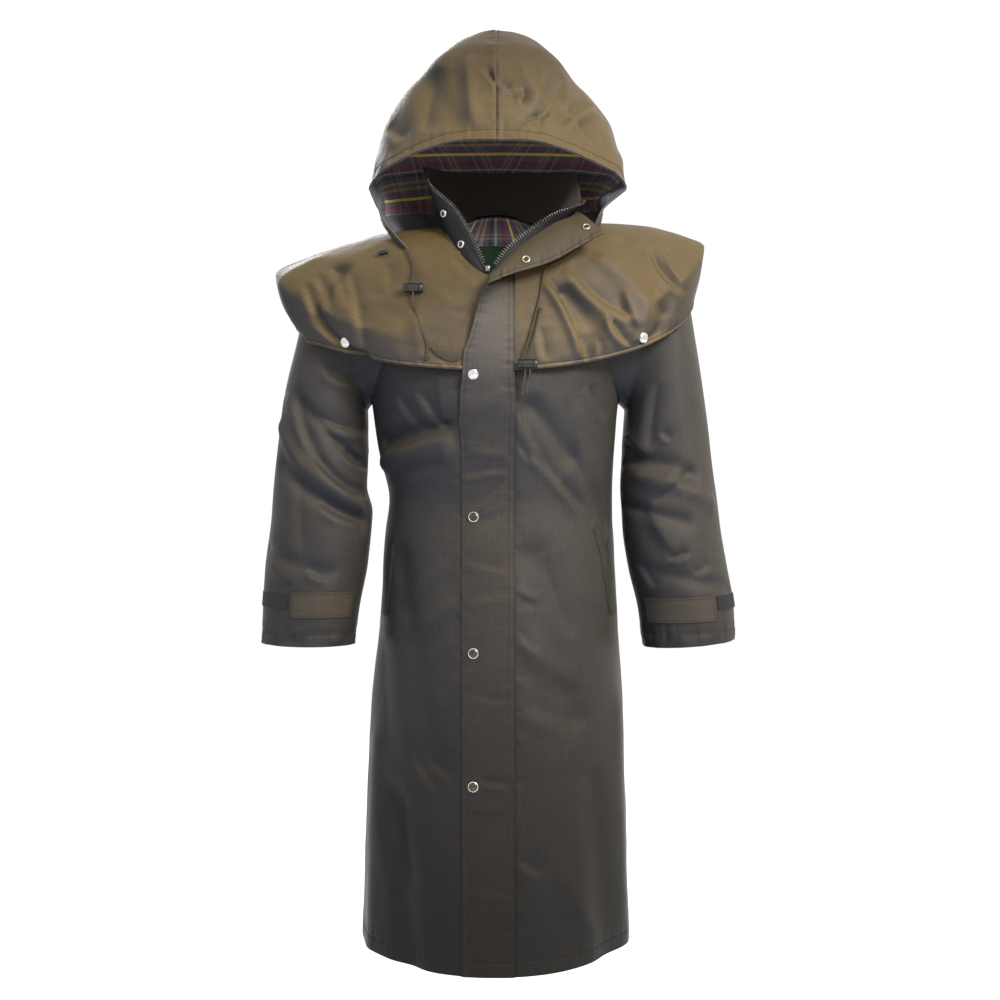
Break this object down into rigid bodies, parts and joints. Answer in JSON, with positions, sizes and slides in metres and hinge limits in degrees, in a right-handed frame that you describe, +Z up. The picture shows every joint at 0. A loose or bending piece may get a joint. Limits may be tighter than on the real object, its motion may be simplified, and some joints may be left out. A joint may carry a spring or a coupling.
{
  "type": "hooded cape coat",
  "caption": "Long hooded coat with a short shoulder cape, storm flap over the front zip and tabbed cuffs, hollow as worn, for dressing a figure.",
  "frame": {"origin": "the middle of the neck, at the height of its side seams, where the wearer's shoulders and neck hold the coat up", "axes": "+Z up the wearer's back, -Y out of the front, +X to the wearer's left"},
  "size_m": [0.7445, 0.4055, 1.4461],
  "materials": {
    "coat_cloth": "dark grey-brown proofed cotton, dry waxed sheen",
    "cape_cloth": "olive-brown proofed cotton, soft golden sheen",
    "checked_lining": "woven check, matt",
    "dark_corduroy": "fine corduroy, matt",
    "green_label": "woven tape, blank",
    "zip_tape": "woven tape with metal teeth",
    "stud_steel": "satin plated",
    "socket_brass": "satin",
    "loop_pile": "loop pile",
    "drawcord": "braided cord",
    "black_plastic": "moulded"
  },
  "bodies": {
    "root": {"coat_back": "coat_cloth", "coat_front_left": "coat_cloth", "coat_front_right": "coat_cloth", "sleeve_left": "coat_cloth", "sleeve_right": "coat_cloth", "cuff_tab_left": "coat_cloth", "cuff_tab_right": "coat_cloth", "pocket_welt_left": "coat_cloth", "pocket_welt_right": "coat_cloth", "storm_flap": "coat_cloth", "storm_flap_lapel": "coat_cloth", "collar": "coat_cloth", "hood_facing_left": "coat_cloth", "hood_facing_right": "coat_cloth", "cape_back": "cape_cloth", "cape_front_left": "cape_cloth", "cape_front_right": "cape_cloth", "hood_left": "cape_cloth", "hood_right": "cape_cloth", "hood_lining_left": "checked_lining", "hood_lining_right": "checked_lining", "neck_lining": "checked_lining", "collar_facing": "dark_corduroy", "neck_label": "green_label", "zip_tape_left": "zip_tape", "zip_tape_right": "zip_tape", "zip_slider": "stud_steel", "flap_stud_1": "stud_steel", "flap_stud_2": "stud_steel", "flap_stud_3": "stud_steel", "flap_stud_4": "stud_steel", "cape_stud_left": "stud_steel", "cape_stud_right": "stud_steel", "collar_stud_high": "stud_steel", "collar_stud_low": "stud_steel", "lapel_socket_low": "socket_brass", "lapel_socket_tip": "socket_brass", "cuff_loop_strip_left": "loop_pile", "cuff_loop_strip_right": "loop_pile", "drawcord_left_long": "drawcord", "drawcord_left_short": "drawcord", "drawcord_right_long": "drawcord", "drawcord_right_short": "drawcord", "cord_toggle_left": "black_plastic", "cord_toggle_right": "black_plastic", "cape_bead": "black_plastic"}
  },
  "joints": []
}
